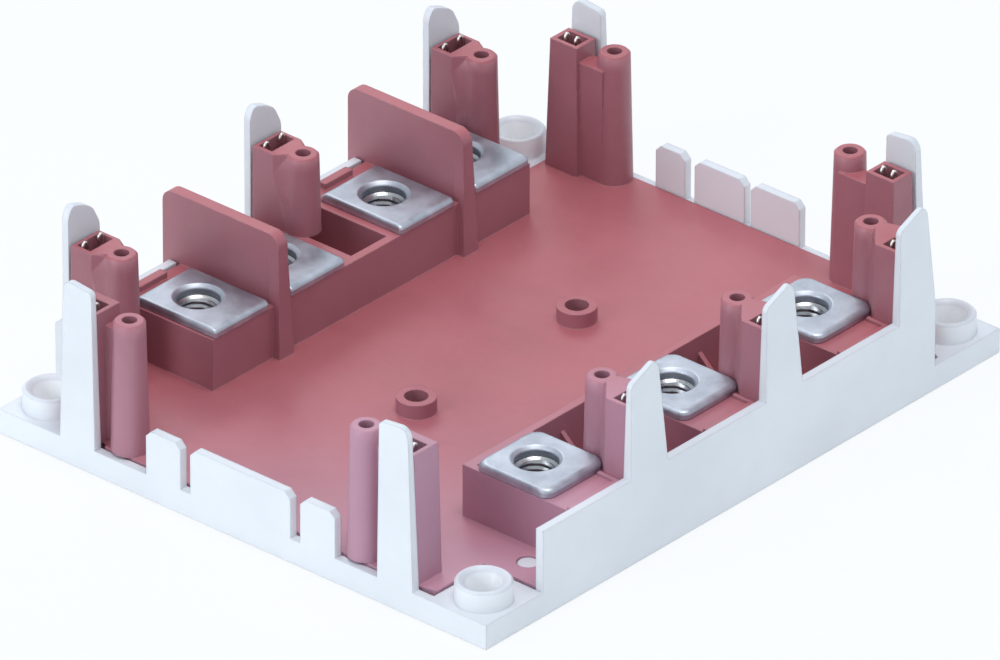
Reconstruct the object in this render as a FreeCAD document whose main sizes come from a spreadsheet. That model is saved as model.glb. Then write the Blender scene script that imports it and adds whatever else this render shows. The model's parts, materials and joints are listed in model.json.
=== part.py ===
import FreeCAD, Part
import os
import Sketcher

# Six-pack power module without a base plate: a moulded frame, a moulded pressure plate with
# terminal seats and signal towers, flat busbars, spring contacts and three ceramic substrates.
# Millimetres. +X runs along the row of three output terminals, +Y from the output side to the
# supply side, +Z up. The origin is the middle of the four corner holes, on the underside.

doc = FreeCAD.newDocument("power_module")
sheet = doc.addObject("Spreadsheet::Sheet", "Sizes")

SIZES = {
    # Frame
    "frame_length": 114.6,
    "frame_width": 94.5,
    "frame_wall": 1.4,
    "ledge_height": 3.0,
    "rail_height": 4.0,
    "sunk_rib_height": 1.2,
    "side_wall_height": 14.2,
    "rear_wall_height": 13.2,
    "block_height": 11.5,
    "block_a": 11.6,
    "block_b": 18.3,
    "block_c": 9.7,
    "bevel": 1.0,
    "overcut": 1.0,
    "lug_length": 12.4,
    "lug_width": 11.2,
    "lug_pitch_x": 103.4,
    "lug_pitch_y": 83.8,
    "lug_hole_radius": 2.75,
    "collar_radius": 4.3,
    "collar_height": 7.3,
    "front_wall_end": 41.9,
    "fin_thickness": 2.4,
    "fin_height": 32.0,
    "fin_drop": 2.2,
    "fin_start": 4.3,
    "fin_top_width": 6.0,
    "fin_foot_width": 8.2,
    "end_fin_thickness": 2.0,
    "near_fin_start": 26.8,
    "far_fin_start": 28.8,
    "end_fin_top_width": 5.5,
    "end_fin_foot_width": 6.9,
    "end_fin_height": 30.6,
    "finger_width": 6.8,
    "finger_thickness": 1.2,
    # Pressure plate
    "deck_top": 4.4,
    "edge_gap": 0.2,
    "seat_top": 13.0,
    "seat_back": 24.5,
    "seat_left": 6.5,
    "seat_right": 7.4,
    "back_wall": 1.3,
    "supply_front": 26.7,
    "supply_back": 45.4,
    "supply_half_length": 35.2,
    "pit_wall": 2.5,
    "supply_middle": 1.8,
    "hollow_top": 4.8,
    "divider_thickness": 2.0,
    "divider_top": 24.6,
    "divider_back": 48.8,
    "divider_tail": 9.0,
    "divider_round": 2.0,
    "pilaster_reach": 1.4,
    "pilaster_foot": 3.2,
    "stop_width": 6.0,
    "stop_height": 1.0,
    "tower_top": 25.9,
    "web_top": 23.4,
    "post_top_radius": 2.4,
    "post_foot_radius": 2.9,
    "pilot_radius": 1.15,
    "pilot_depth": 9.0,
    "web_width": 3.2,
    "post_chamfer": 0.35,
    "box_length": 5.2,
    "box_depth": 6.2,
    "box_taper": 0.5,
    "near_box_y": 29.7,
    "far_box_y": 31.8,
    "pocket_length": 2.9,
    "pocket_width": 3.8,
    "pocket_depth": 3.0,
    "channel_width": 1.6,
    "front_tower_x": 9.5,
    "front_tower_y": 37.2,
    "rear_tower_x": 39.8,
    "rear_tower_y": 38.7,
    "end_tower_x": 53.7,
    "near_tower_y": 21.2,
    "far_tower_y": 24.6,
    "boss_x": 17.86,
    "boss_y": 0.8,
    "boss_radius": 3.05,
    "boss_top": 6.8,
    "boss_hole_radius": 1.8,
    "sight_hole_x": 40.1,
    "sight_hole_y": 40.2,
    "sight_hole_radius": 1.7,
    # Terminals
    "output_pitch": 30.0,
    "output_hole_y": 33.0,
    "output_tab_width": 13.0,
    "output_tab_front": 40.8,
    "output_tab_back": 26.5,
    "supply_hole_y": 35.2,
    "supply_tab_width": 12.0,
    "supply_leg_width": 9.0,
    "supply_tab_front": 26.5,
    "supply_tab_back": 42.6,
    "pair_pitch": 41.0,
    "pair_gap": 16.7,
    "bar_thickness": 1.0,
    "tab_thickness": 1.5,
    "tab_chamfer": 0.5,
    "bend_radius": 0.5,
    "tab_hole_radius": 3.3,
    "tab_corner": 1.2,
    "leg_gap": 0.3,
    "nut_across_flats": 10.0,
    "nut_corner_radius": 5.77,
    "nut_height": 5.0,
    "nut_bore_radius": 2.5,
    "nut_gap": 0.1,
    "bolt_room": 2.0,
    # Inner stack
    "tile_width": 25.0,
    "tile_length": 90.4,
    "tile_pitch": 32.7,
    "tile_gap": 0.3,
    "copper_thickness": 0.3,
    "ceramic_thickness": 0.65,
    "copper_margin": 0.4,
    "copper_gap": 0.8,
    "chip_thickness": 0.25,
    "switch_side": 10.5,
    "switch_x": 5.9,
    "switch_y": 6.5,
    "diode_side": 6.0,
    "diode_x": 9.2,
    "diode_y": 20.0,
    "bar_level": 1.65,
    "output_leg_width": 10.0,
    "output_foot_reach": 13.0,
    "contact_width": 6.0,
    "contact_length": 8.0,
    "finger_bar_width": 4.6,
    "finger_bar_x": 3.4,
    "finger_bar_reach": 14.0,
    "rail_front": 31.5,
    "upper_rail_level": 3.05,
    "upper_rail_back": 40.4,
    "upper_rail_front": 29.2,
    "rail_end_room": 1.8,
    "spring_radius": 0.5,
    "spring_spacing": 1.0,
    "spring_top": 25.3,
    "lead_width": 1.2,
    "lead_end": 43.0,
    "lead_reach": 3.4,
    "lead_thickness": 0.5,
    "tower_signal_step": 11.4,
    "sensor_side": 2.0,
    "sensor_height": 0.9,
}


class Size:
    """A length that carries its number and its sheet formula together."""

    def __init__(self, number, formula):
        self.number = number
        self.formula = formula

    def _join(self, other, sign, number):
        return Size(number, "(%s %s %s)" % (self.formula, sign, size(other).formula))

    def __add__(self, other):
        return self._join(other, "+", self.number + size(other).number)

    def __sub__(self, other):
        return self._join(other, "-", self.number - size(other).number)

    def __mul__(self, other):
        return self._join(other, "*", self.number * size(other).number)

    def __truediv__(self, other):
        return self._join(other, "/", self.number / size(other).number)

    def __neg__(self):
        return Size(-self.number, "(0 - %s)" % self.formula)

    def __rmul__(self, other):
        return size(other) * self

    def __radd__(self, other):
        return size(other) + self

    def __rsub__(self, other):
        return size(other) - self


def size(value):
    return value if isinstance(value, Size) else Size(float(value), repr(value))


class Sheet:
    """Gives each driving dimension as an attribute, such as S.frame_wall."""

    def __getattr__(self, name):
        return Size(SIZES[name], "Sizes." + name)


for row, (alias, value) in enumerate(SIZES.items(), start=1):
    sheet.set("A%d" % row, alias)
    sheet.set("B%d" % row, str(value))
    sheet.setAlias("B%d" % row, alias)
doc.recompute()
S = Sheet()


# Helpers that draw bound sketches and turn them into pads and pockets

CLOSE = 0.02
ALONG = 0.99


def new_body(label):
    body = doc.addObject("PartDesign::Body", label)
    body.Label = label
    return body


def rectangle(x0, x1, y0, y1):
    return [(x0, y0), (x1, y0), (x1, y1), (x0, y1)]


def centred(x, y, length, width):
    return rectangle(x - length / 2, x + length / 2, y - width / 2, y + width / 2)


class Drawing:
    """Gathers the lines, circles and bound measures of one sketch."""

    def __init__(self):
        self.shapes = []
        self.rules = []
        self.formulas = []

    def measure(self, kind, *where, value):
        self.formulas.append((len(self.rules), value.formula))
        self.rules.append(Sketcher.Constraint(kind, *where, value.number))

    def loop(self, points):
        first = len(self.shapes)
        count = len(points)
        points = [(size(x), size(y)) for x, y in points]
        vectors = [FreeCAD.Vector(x.number, y.number, 0) for x, y in points]
        for i in range(count):
            self.shapes.append(Part.LineSegment(vectors[i], vectors[(i + 1) % count]))
        for i, (x, y) in enumerate(points):
            self.rules.append(Sketcher.Constraint("Coincident", first + i, 2, first + (i + 1) % count, 1))
            self.measure("DistanceX", -1, 1, first + i, 1, value=x)
            self.measure("DistanceY", -1, 1, first + i, 1, value=y)

    def circle(self, x, y, radius):
        x, y, radius = size(x), size(y), size(radius)
        index = len(self.shapes)
        centre = FreeCAD.Vector(x.number, y.number, 0)
        self.shapes.append(Part.Circle(centre, FreeCAD.Vector(0, 0, 1), radius.number))
        self.measure("Radius", index, value=radius)
        self.measure("DistanceX", -1, 1, index, 3, value=x)
        self.measure("DistanceY", -1, 1, index, 3, value=y)

    def fill(self, sketch):
        sketch.addGeometry(self.shapes)
        sketch.addConstraint(self.rules)
        for index, formula in self.formulas:
            sketch.setExpression("Constraints[%d]" % index, formula)


def new_sketch(body, name, role, offset, loops=(), circles=()):
    sketch = body.newObject("Sketcher::SketchObject", name)
    plane = [feature for feature in body.Origin.OriginFeatures if feature.Role == role][0]
    sketch.AttachmentSupport = [(plane, "")]
    sketch.MapMode = "FlatFace"
    drawing = Drawing()
    for points in loops:
        drawing.loop(points)
    for x, y, radius in circles:
        drawing.circle(x, y, radius)
    drawing.fill(sketch)
    sketch.setExpression("AttachmentOffset.Base.z", size(offset).formula)
    return sketch


def extrude(body, name, low, high, loops=(), circles=(), role="XY_Plane", cut=False):
    """Pad or pocket between two levels along the plane's own axis (X, Y or Z)."""
    low, high = size(low), size(high)
    offset = -high if role == "XZ_Plane" else low
    sketch = new_sketch(body, name + "_sketch", role, offset, loops, circles)
    kind = "PartDesign::Pocket" if cut else "PartDesign::Pad"
    feature = body.newObject(kind, name)
    feature.Profile = sketch
    feature.setExpression("Length", (high - low).formula)
    if cut:
        feature.Reversed = True
    return feature


def cone(body, name, x, y, foot, top, low, high):
    feature = body.newObject("PartDesign::AdditiveCone", name)
    plane = [item for item in body.Origin.OriginFeatures if item.Role == "XY_Plane"][0]
    feature.AttachmentSupport = [(plane, "")]
    feature.MapMode = "FlatFace"
    feature.setExpression("Radius1", size(foot).formula)
    feature.setExpression("Radius2", size(top).formula)
    feature.setExpression("Height", (size(high) - size(low)).formula)
    feature.setExpression("AttachmentOffset.Base.x", size(x).formula)
    feature.setExpression("AttachmentOffset.Base.y", size(y).formula)
    feature.setExpression("AttachmentOffset.Base.z", size(low).formula)
    return feature


def edges_where(shape, test):
    """Names of the straight edges whose middle and direction pass the test."""
    names = []
    for index, edge in enumerate(shape.Edges, start=1):
        if len(edge.Vertexes) != 2 or edge.Curve.TypeId != "Part::GeomLine":
            continue
        start, end = edge.Vertexes[0].Point, edge.Vertexes[1].Point
        middle = (start + end) * 0.5
        direction = (end - start).normalize()
        if test(middle, direction):
            names.append("Edge%d" % index)
    return names


def rims_where(shape, test):
    """Names of the circular edges whose centre and radius pass the test."""
    names = []
    for index, edge in enumerate(shape.Edges, start=1):
        if edge.Curve.TypeId == "Part::GeomCircle" and test(edge.Curve.Center, edge.Curve.Radius):
            names.append("Edge%d" % index)
    return names


def round_edges(body, name, radius, test, kind="PartDesign::Fillet", find=edges_where):
    doc.recompute()
    base = body.Tip
    names = find(base.Shape, test)
    if not names:
        raise ValueError("no edge found for " + name)
    feature = body.newObject(kind, name)
    feature.Base = (base, names)
    feature.setExpression("Size" if kind.endswith("Chamfer") else "Radius", size(radius).formula)
    return feature


def near(a, b):
    return abs(a - size(b).number) < CLOSE


def chamfer_rims(body, name, width, radius, level):
    """Break the edge of each round hole or post of one radius at one level."""
    def rim(centre, found):
        return near(centre.z, level) and near(found, radius)
    round_edges(body, name, width, rim, "PartDesign::Chamfer", rims_where)


def taper(body, name, low, foot, high, top):
    """Loft from one outline to another between two levels."""
    first = new_sketch(body, name + "_foot", "XY_Plane", low, [foot])
    last = new_sketch(body, name + "_top", "XY_Plane", high, [top])
    feature = body.newObject("PartDesign::AdditiveLoft", name)
    feature.Profile = first
    feature.Sections = [last]
    feature.Ruled = True


# Places that several pieces share

HALF_LENGTH = S.frame_length / 2
HALF_WIDTH = S.frame_width / 2
INNER_X = HALF_LENGTH - S.frame_wall
INNER_Y = HALF_WIDTH - S.frame_wall
LUG_INNER_X = HALF_LENGTH - S.lug_length
LUG_INNER_Y = HALF_WIDTH - S.lug_width
LUG_HOLES = [(sx * S.lug_pitch_x / 2, sy * S.lug_pitch_y / 2) for sx in (-1, 1) for sy in (-1, 1)]
BOSS_HOLES = [(-S.boss_x, S.boss_y), (S.boss_x, S.boss_y)]
OUTPUT_X = [k * S.output_pitch for k in (-1, 0, 1)]
PAIR_X = [S.supply_middle + k * S.pair_pitch / 2 for k in (-1, 1)]
SUPPLY_X = [middle + k * S.pair_gap / 2 for middle in PAIR_X for k in (-1, 1)]
TILE_X = [k * S.tile_pitch for k in (-1, 0, 1)]
PHASES = ["u", "v", "w"]
TAB_TOP = S.seat_top + S.tab_thickness
TILE_TOP = 2 * S.copper_thickness + S.ceramic_thickness
CHIP_TOP = TILE_TOP + S.chip_thickness
NUT_FLOOR = S.seat_top - S.nut_height - S.nut_gap
BAR_TOP = S.bar_level + S.bar_thickness

HOLLOW_FRONT = S.supply_front + S.frame_wall
HOLLOW_HALF = S.supply_half_length - S.frame_wall
LEG_BACK = S.supply_tab_back + S.leg_gap

FIN_LINE = HALF_WIDTH - S.fin_thickness - S.edge_gap
END_LINE = HALF_LENGTH - S.end_fin_thickness - S.edge_gap
DECK_LINE = INNER_Y - S.edge_gap
BOX_FRONT_Y = S.box_depth / 2 - FIN_LINE
BOX_REAR_Y = DECK_LINE - S.box_depth / 2
BOX_END_X = END_LINE - S.box_length / 2

# Each tower: its name, the middle of its screw post and the middle of its spring box
TOWERS = []
for phase, x in zip(PHASES, OUTPUT_X):
    post_x = x + S.front_tower_x
    TOWERS.append(("front_" + phase, (post_x, -S.front_tower_y), (post_x, BOX_FRONT_Y)))
for phase, side in zip(PHASES, (-1, 0, 1)):
    post_x = side * S.rear_tower_x
    TOWERS.append(("rear_" + phase, (post_x, S.rear_tower_y), (post_x, BOX_REAR_Y)))
for name, side in (("left", -1), ("right", 1)):
    post_x, box_x = side * S.end_tower_x, side * BOX_END_X
    TOWERS.append(("near_" + name, (post_x, -S.near_tower_y), (box_x, -S.near_box_y)))
    TOWERS.append(("far_" + name, (post_x, S.far_tower_y), (box_x, S.far_box_y)))
LEAD_TOWERS = ["front_u", "near_left", "near_right", "far_left", "far_right"]


def spring_places(box):
    x, y = box
    return [(x, y - S.spring_spacing), (x, y + S.spring_spacing)]


def make_frame():
    body = new_body("housing_frame")
    floor = rectangle(-HALF_LENGTH, HALF_LENGTH, -HALF_WIDTH, HALF_WIDTH)
    extrude(body, "floor", 0, S.ledge_height, [floor])

    lugs = []
    for side_x in (-1, 1):
        for side_y in (-1, 1):
            xs = sorted([side_x * HALF_LENGTH, side_x * LUG_INNER_X], key=lambda item: item.number)
            ys = sorted([side_y * HALF_WIDTH, side_y * LUG_INNER_Y], key=lambda item: item.number)
            lugs.append(rectangle(xs[0], xs[1], ys[0], ys[1]))
    extrude(body, "lugs", 0, S.rail_height, lugs)
    rails = [rectangle(-HALF_LENGTH, -INNER_X, -LUG_INNER_Y, LUG_INNER_Y),
             rectangle(INNER_X, HALF_LENGTH, -LUG_INNER_Y, LUG_INNER_Y),
             rectangle(S.front_wall_end, LUG_INNER_X, -HALF_WIDTH, -INNER_Y)]
    extrude(body, "rails", 0, S.rail_height, rails)
    front_wall = rectangle(-LUG_INNER_X, S.front_wall_end, -HALF_WIDTH, -INNER_Y)
    extrude(body, "front_wall", 0, S.side_wall_height, [front_wall])
    rear_wall = rectangle(-LUG_INNER_X, LUG_INNER_X, INNER_Y, HALF_WIDTH)
    extrude(body, "rear_wall", 0, S.rear_wall_height, [rear_wall])
    slots = [centred(x, INNER_Y + S.frame_wall / 2, S.divider_thickness + 2 * S.leg_gap,
                     S.frame_wall + S.overcut) for x in PAIR_X]
    extrude(body, "divider_slots", S.divider_tail - S.leg_gap, S.rear_wall_height, slots, cut=True)
    extrude(body, "collars", 0, S.collar_height, circles=[(x, y, S.collar_radius) for x, y in LUG_HOLES])

    fins = []
    for x in OUTPUT_X:
        left, foot_right = x + S.fin_start, x + S.fin_start + S.fin_foot_width
        right = x + S.fin_start + S.fin_top_width
        fins.append([(left, size(0)), (foot_right, size(0)), (foot_right, S.side_wall_height),
                     (right, S.fin_height - S.bevel), (right - S.bevel, S.fin_height),
                     (left, S.fin_height - S.fin_drop)])
    extrude(body, "front_fins", -HALF_WIDTH, S.fin_thickness - HALF_WIDTH, fins, role="XZ_Plane")
    fingers = []
    for name, post, box in TOWERS:
        if name.startswith("rear"):
            left, right = box[0] - S.finger_width / 2, box[0] + S.finger_width / 2
            cut = S.bevel
            fingers.append([(left, size(0)), (right, size(0)), (right, S.fin_height - 5 * cut),
                            (right - 3 * cut / 2, S.fin_height - 2 * cut),
                            (right - 3 * cut, S.fin_height - cut),
                            (left + cut, S.fin_height), (left, S.fin_height - 3 * cut / 2)])
    extrude(body, "rear_fingers", HALF_WIDTH - S.finger_thickness, HALF_WIDTH, fingers, role="XZ_Plane")

    ends = []
    for side, start in ((-1, S.near_fin_start), (1, S.far_fin_start)):
        foot = start - S.bevel / 2
        inner_foot, outer_foot = side * foot, side * (foot + S.end_fin_foot_width)
        inner_top, outer_top = side * start, side * (start + S.end_fin_top_width)
        ends.append([(inner_foot, size(0)), (outer_foot, size(0)), (outer_foot, S.rail_height),
                     (outer_top, S.end_fin_height - S.bevel), (outer_top - side * S.bevel, S.end_fin_height),
                     (inner_top, S.end_fin_height - S.bevel / 2)])
    extrude(body, "left_fins", -HALF_LENGTH, S.end_fin_thickness - HALF_LENGTH, ends, role="YZ_Plane")
    extrude(body, "right_fins", HALF_LENGTH - S.end_fin_thickness, HALF_LENGTH, ends, role="YZ_Plane")

    def block(low, high):
        return [(low, size(0)), (high, size(0)), (high, S.block_height - S.bevel),
                (high - S.bevel, S.block_height), (low + S.bevel, S.block_height),
                (low, S.block_height - S.bevel)]

    left_blocks = [block(S.block_a, S.block_b), block(-S.block_c, S.block_c), block(-S.block_b, -S.block_a)]
    right_blocks = [block(S.block_a + S.bevel, S.block_b), block(S.bevel, S.block_c + S.bevel),
                    block(-S.block_c, -S.bevel / 4)]
    extrude(body, "left_blocks", -HALF_LENGTH, -INNER_X, left_blocks, role="YZ_Plane")
    extrude(body, "right_blocks", INNER_X, HALF_LENGTH, right_blocks, role="YZ_Plane")
    opening_width, opening_length = S.tile_width + 2 * S.tile_gap, S.tile_length + 2 * S.tile_gap
    openings = [centred(x, size(0), opening_width, opening_length) for x in TILE_X]
    extrude(body, "tile_openings", 0, S.ledge_height, openings, cut=True)
    outer_x = S.tile_pitch + S.tile_width / 2 + S.tile_gap
    inner_y = S.tile_length / 2 + S.tile_gap
    sunk = [rectangle(-outer_x, outer_x, HOLLOW_FRONT, inner_y),
            rectangle(-outer_x, outer_x, -inner_y, -HOLLOW_FRONT)]
    extrude(body, "sunk_ribs", S.sunk_rib_height, S.ledge_height, sunk, cut=True)
    grooves = []
    for name, post, box in TOWERS:
        if name in LEAD_TOWERS[1:]:
            x, y = box
            side = 1 if x.number > 0 else -1
            room = S.spring_spacing + S.lead_width / 2 + S.tile_gap
            ends = [side * (outer_x - S.tile_gap), x + side * (S.lead_width / 2 + S.tile_gap)]
            ends.sort(key=lambda item: item.number)
            grooves.append(rectangle(ends[0], ends[1], y - room, y + room))
    extrude(body, "lead_grooves", TILE_TOP, S.ledge_height, grooves, cut=True)
    holes = [(x, y, S.lug_hole_radius) for x, y in LUG_HOLES]
    extrude(body, "lug_holes", 0, S.collar_height, circles=holes, cut=True)
    holes = [(x, y, S.boss_hole_radius) for x, y in BOSS_HOLES]
    extrude(body, "middle_holes", 0, S.ledge_height, circles=holes, cut=True)
    chamfer_rims(body, "collar_rims", S.post_chamfer, S.collar_radius, S.collar_height)
    chamfer_rims(body, "lug_hole_rims", S.tab_chamfer, S.lug_hole_radius, S.collar_height)
    return body


def deck_outline():
    x, y = INNER_X - S.edge_gap, DECK_LINE
    notch_x, notch_y = LUG_INNER_X - S.edge_gap, LUG_INNER_Y - S.edge_gap
    quarter = [(x, notch_y), (notch_x, notch_y), (notch_x, y)]
    corners = list(quarter)
    corners += [(-px, py) for px, py in reversed(quarter)]
    corners += [(-px, -py) for px, py in quarter]
    corners += [(px, -py) for px, py in reversed(quarter)]
    return corners


def hexagon(x, y, across):
    """Nut outline with two flats facing the row's front and back."""
    half = across / 2
    side = across * S.nut_corner_radius / S.nut_across_flats
    return [(x + side, y), (x + side / 2, y + half), (x - side / 2, y + half),
            (x - side, y), (x - side / 2, y - half), (x + side / 2, y - half)]


NUT_PLACES = [(x, -S.output_hole_y) for x in OUTPUT_X] + [(x, S.supply_hole_y) for x in SUPPLY_X]


def make_plate():
    body = new_body("pressure_plate")
    extrude(body, "deck", S.ledge_height, S.deck_top, [deck_outline()])

    top_length, top_depth = S.box_length - 2 * S.box_taper, S.box_depth - 2 * S.box_taper
    for name, post, box in TOWERS:
        cone(body, "post_" + name, post[0], post[1], S.post_foot_radius, S.post_top_radius,
             S.deck_top, S.tower_top)
    chamfer_rims(body, "post_rims", S.post_chamfer, S.post_top_radius, S.tower_top)
    for name, post, box in TOWERS:
        foot = centred(box[0], box[1], S.box_length, S.box_depth)
        top = centred(box[0], box[1], top_length, top_depth)
        taper(body, "box_" + name, S.deck_top, foot, S.tower_top, top)

    notches = [rectangle(x + S.fin_start - S.edge_gap, x + S.fin_start + S.fin_foot_width + S.edge_gap,
                         -HALF_WIDTH, -FIN_LINE) for x in OUTPUT_X]
    for left, right in ((-HALF_LENGTH, -END_LINE), (END_LINE, HALF_LENGTH)):
        notches.append(rectangle(left, right, S.far_fin_start - S.bevel, LUG_INNER_Y))
        notches.append(rectangle(left, right, -LUG_INNER_Y, S.bevel - S.near_fin_start))
    extrude(body, "fin_notches", S.ledge_height, S.deck_top, notches, cut=True)

    seats = [rectangle(x - S.seat_left, x + S.seat_right, -FIN_LINE, -S.seat_back) for x in OUTPUT_X]
    extrude(body, "output_seats", S.ledge_height, S.seat_top, seats)
    wall = rectangle(OUTPUT_X[0] - S.seat_left + S.bevel, OUTPUT_X[2] + S.seat_right - S.bevel,
                     -S.seat_back - S.back_wall, -S.seat_back)
    extrude(body, "back_wall", S.ledge_height, S.seat_top, [wall])

    left, right = S.supply_middle - S.supply_half_length, S.supply_middle + S.supply_half_length
    block = rectangle(left, right, S.supply_front, S.supply_back)
    extrude(body, "supply_block", S.ledge_height, S.seat_top, [block])
    pit = rectangle(SUPPLY_X[1] + S.seat_left + S.pit_wall, SUPPLY_X[2] - S.seat_right, HOLLOW_FRONT,
                    S.supply_back - S.frame_wall)
    extrude(body, "supply_pit", S.deck_top + S.frame_wall, S.seat_top, [pit], cut=True)

    stops = [centred(x, S.supply_back - S.frame_wall / 2, S.stop_width, S.frame_wall) for x in SUPPLY_X]
    extrude(body, "tab_stops", S.deck_top, S.seat_top + S.stop_height, stops)

    def divider_corner(middle, direction):
        return abs(direction.x) > ALONG and near(middle.z, S.divider_top)

    half = S.divider_thickness / 2
    front = S.supply_front - S.pilaster_reach / 2
    for index, x in enumerate(PAIR_X):
        outline = [(front, S.deck_top), (front, S.divider_top), (S.divider_back, S.divider_top),
                   (S.divider_back, S.divider_tail), (S.supply_back - S.bevel, S.divider_tail),
                   (S.supply_back - S.bevel, S.deck_top)]
        extrude(body, "divider_%d" % index, x - half, x + half, [outline], role="YZ_Plane")
    round_edges(body, "divider_corners", S.divider_round, divider_corner)
    for index, x in enumerate(PAIR_X):
        foot_half = S.pilaster_foot / 2
        inner = S.supply_front + S.bevel
        foot = rectangle(x - foot_half, x + foot_half, S.supply_front - S.pilaster_reach, inner)
        top = rectangle(x - half, x + half, front, inner)
        taper(body, "pilaster_%d" % index, S.deck_top, foot, S.divider_top - S.divider_round - S.bevel, top)

    webs = []
    for name, post, box in TOWERS:
        ys = sorted([post[1], box[1]], key=lambda item: item.number)
        webs.append(rectangle(box[0] - S.web_width / 2, box[0] + S.web_width / 2, ys[0], ys[1]))
    extrude(body, "webs", S.ledge_height, S.web_top, webs)

    bosses = [(x, y, S.boss_radius) for x, y in BOSS_HOLES]
    extrude(body, "bosses", S.ledge_height, S.boss_top, circles=bosses)
    holes = [(x, y, S.boss_hole_radius) for x, y in BOSS_HOLES]
    extrude(body, "boss_holes", S.ledge_height, S.boss_top, circles=holes, cut=True)
    extrude(body, "pilots", S.tower_top - S.pilot_depth, S.tower_top,
            circles=[(post[0], post[1], S.pilot_radius) for name, post, box in TOWERS], cut=True)
    pockets = [centred(box[0], box[1], S.pocket_length, S.pocket_width) for name, post, box in TOWERS]
    extrude(body, "spring_pockets", S.tower_top - S.pocket_depth, S.tower_top, pockets, cut=True)
    channels = [centred(x, y, S.channel_width, S.channel_width) for name, post, box in TOWERS
                for x, y in spring_places(box)]
    extrude(body, "spring_channels", S.ledge_height, S.tower_top, channels, cut=True)

    pockets = [hexagon(x, y, S.nut_across_flats + 2 * S.nut_gap) for x, y in NUT_PLACES]
    extrude(body, "nut_pockets", NUT_FLOOR, S.seat_top, pockets, cut=True)
    rooms = [(x, y, S.tab_hole_radius) for x, y in NUT_PLACES]
    extrude(body, "bolt_rooms", NUT_FLOOR - S.bolt_room, NUT_FLOOR, circles=rooms, cut=True)

    leg_front = S.output_tab_back - S.leg_gap
    leg_back = S.output_tab_back + S.bar_thickness + S.bend_radius + S.nut_gap
    half = S.output_leg_width / 2 + S.leg_gap
    slots = [rectangle(x - half, x + half, -leg_back, -leg_front) for x in OUTPUT_X]
    extrude(body, "output_leg_slots", S.ledge_height, S.seat_top, slots, cut=True)
    leg_front = S.supply_tab_back - S.bar_thickness - S.bend_radius - S.nut_gap
    half = S.supply_leg_width / 2 + S.leg_gap
    slots = [rectangle(x - half, x + half, leg_front, LEG_BACK) for x in SUPPLY_X]
    extrude(body, "supply_leg_slots", S.ledge_height, S.seat_top, slots, cut=True)
    hollow = rectangle(S.supply_middle - HOLLOW_HALF, S.supply_middle + HOLLOW_HALF, HOLLOW_FRONT, LEG_BACK)
    extrude(body, "supply_hollow", S.ledge_height, S.hollow_top, [hollow], cut=True)
    extrude(body, "sight_hole", S.ledge_height, S.deck_top,
            circles=[(-S.sight_hole_x, -S.sight_hole_y, S.sight_hole_radius)], cut=True)
    return body


def bend(body, name, places):
    """Round the sheet's bends: each place is a point of the side view with its radius."""
    for index, (y, z, radius) in enumerate(places):
        def at_place(middle, direction):
            return abs(direction.x) > ALONG and near(middle.y, y) and near(middle.z, z)
        round_edges(body, "%s_bend_%d" % (name, index), radius, at_place)


def finish_tabs(body, front):
    """Cut the tabs' free corners and break their top edges and hole rims."""
    def corner(middle, direction):
        return abs(direction.z) > ALONG and near(middle.y, front) and middle.z > S.seat_top.number
    round_edges(body, "tab_corners", S.tab_corner, corner, "PartDesign::Chamfer")

    def top_edge(middle, direction):
        reach = abs(abs(middle.y) - abs(front.number))
        return near(middle.z, TAB_TOP) and reach < S.tab_corner.number and abs(direction.y) < ALONG
    round_edges(body, "tab_top_edges", S.tab_chamfer, top_edge, "PartDesign::Chamfer")
    chamfer_rims(body, "hole_rims", S.tab_chamfer / 2, S.tab_hole_radius, TAB_TOP)


def make_output_bar(phase, x):
    body = new_body("output_bar_" + phase)
    back = -S.output_tab_back
    leg = back - S.bar_thickness
    foot_end = back + S.output_foot_reach
    side_view = [(-S.output_tab_front, S.seat_top), (-S.output_tab_front, TAB_TOP), (back, TAB_TOP),
                 (back, BAR_TOP), (foot_end, BAR_TOP), (foot_end, S.bar_level), (leg, S.bar_level),
                 (leg, S.seat_top)]
    half = S.output_tab_width / 2
    extrude(body, "strip", x - half, x + half, [side_view], role="YZ_Plane")
    outer = S.bend_radius + S.bar_thickness
    bend(body, "strip", [(back, TAB_TOP, outer), (leg, S.seat_top, S.bend_radius),
                         (leg, S.bar_level, outer), (back, BAR_TOP, S.bend_radius)])
    narrow, wide = S.output_leg_width / 2, half + S.overcut
    sides = [rectangle(x - wide, x - narrow, leg - S.overcut, foot_end + S.overcut),
             rectangle(x + narrow, x + wide, leg - S.overcut, foot_end + S.overcut)]
    extrude(body, "leg_sides", 0, S.seat_top, sides, cut=True)
    middle = back + S.output_foot_reach - S.contact_length
    extrude(body, "contact", TILE_TOP, S.bar_level, [centred(x, middle, S.contact_width, S.contact_length)])
    extrude(body, "hole", S.seat_top, TAB_TOP, circles=[(x, -S.output_hole_y, S.tab_hole_radius)], cut=True)

    finish_tabs(body, -S.output_tab_front)
    return body


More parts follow.
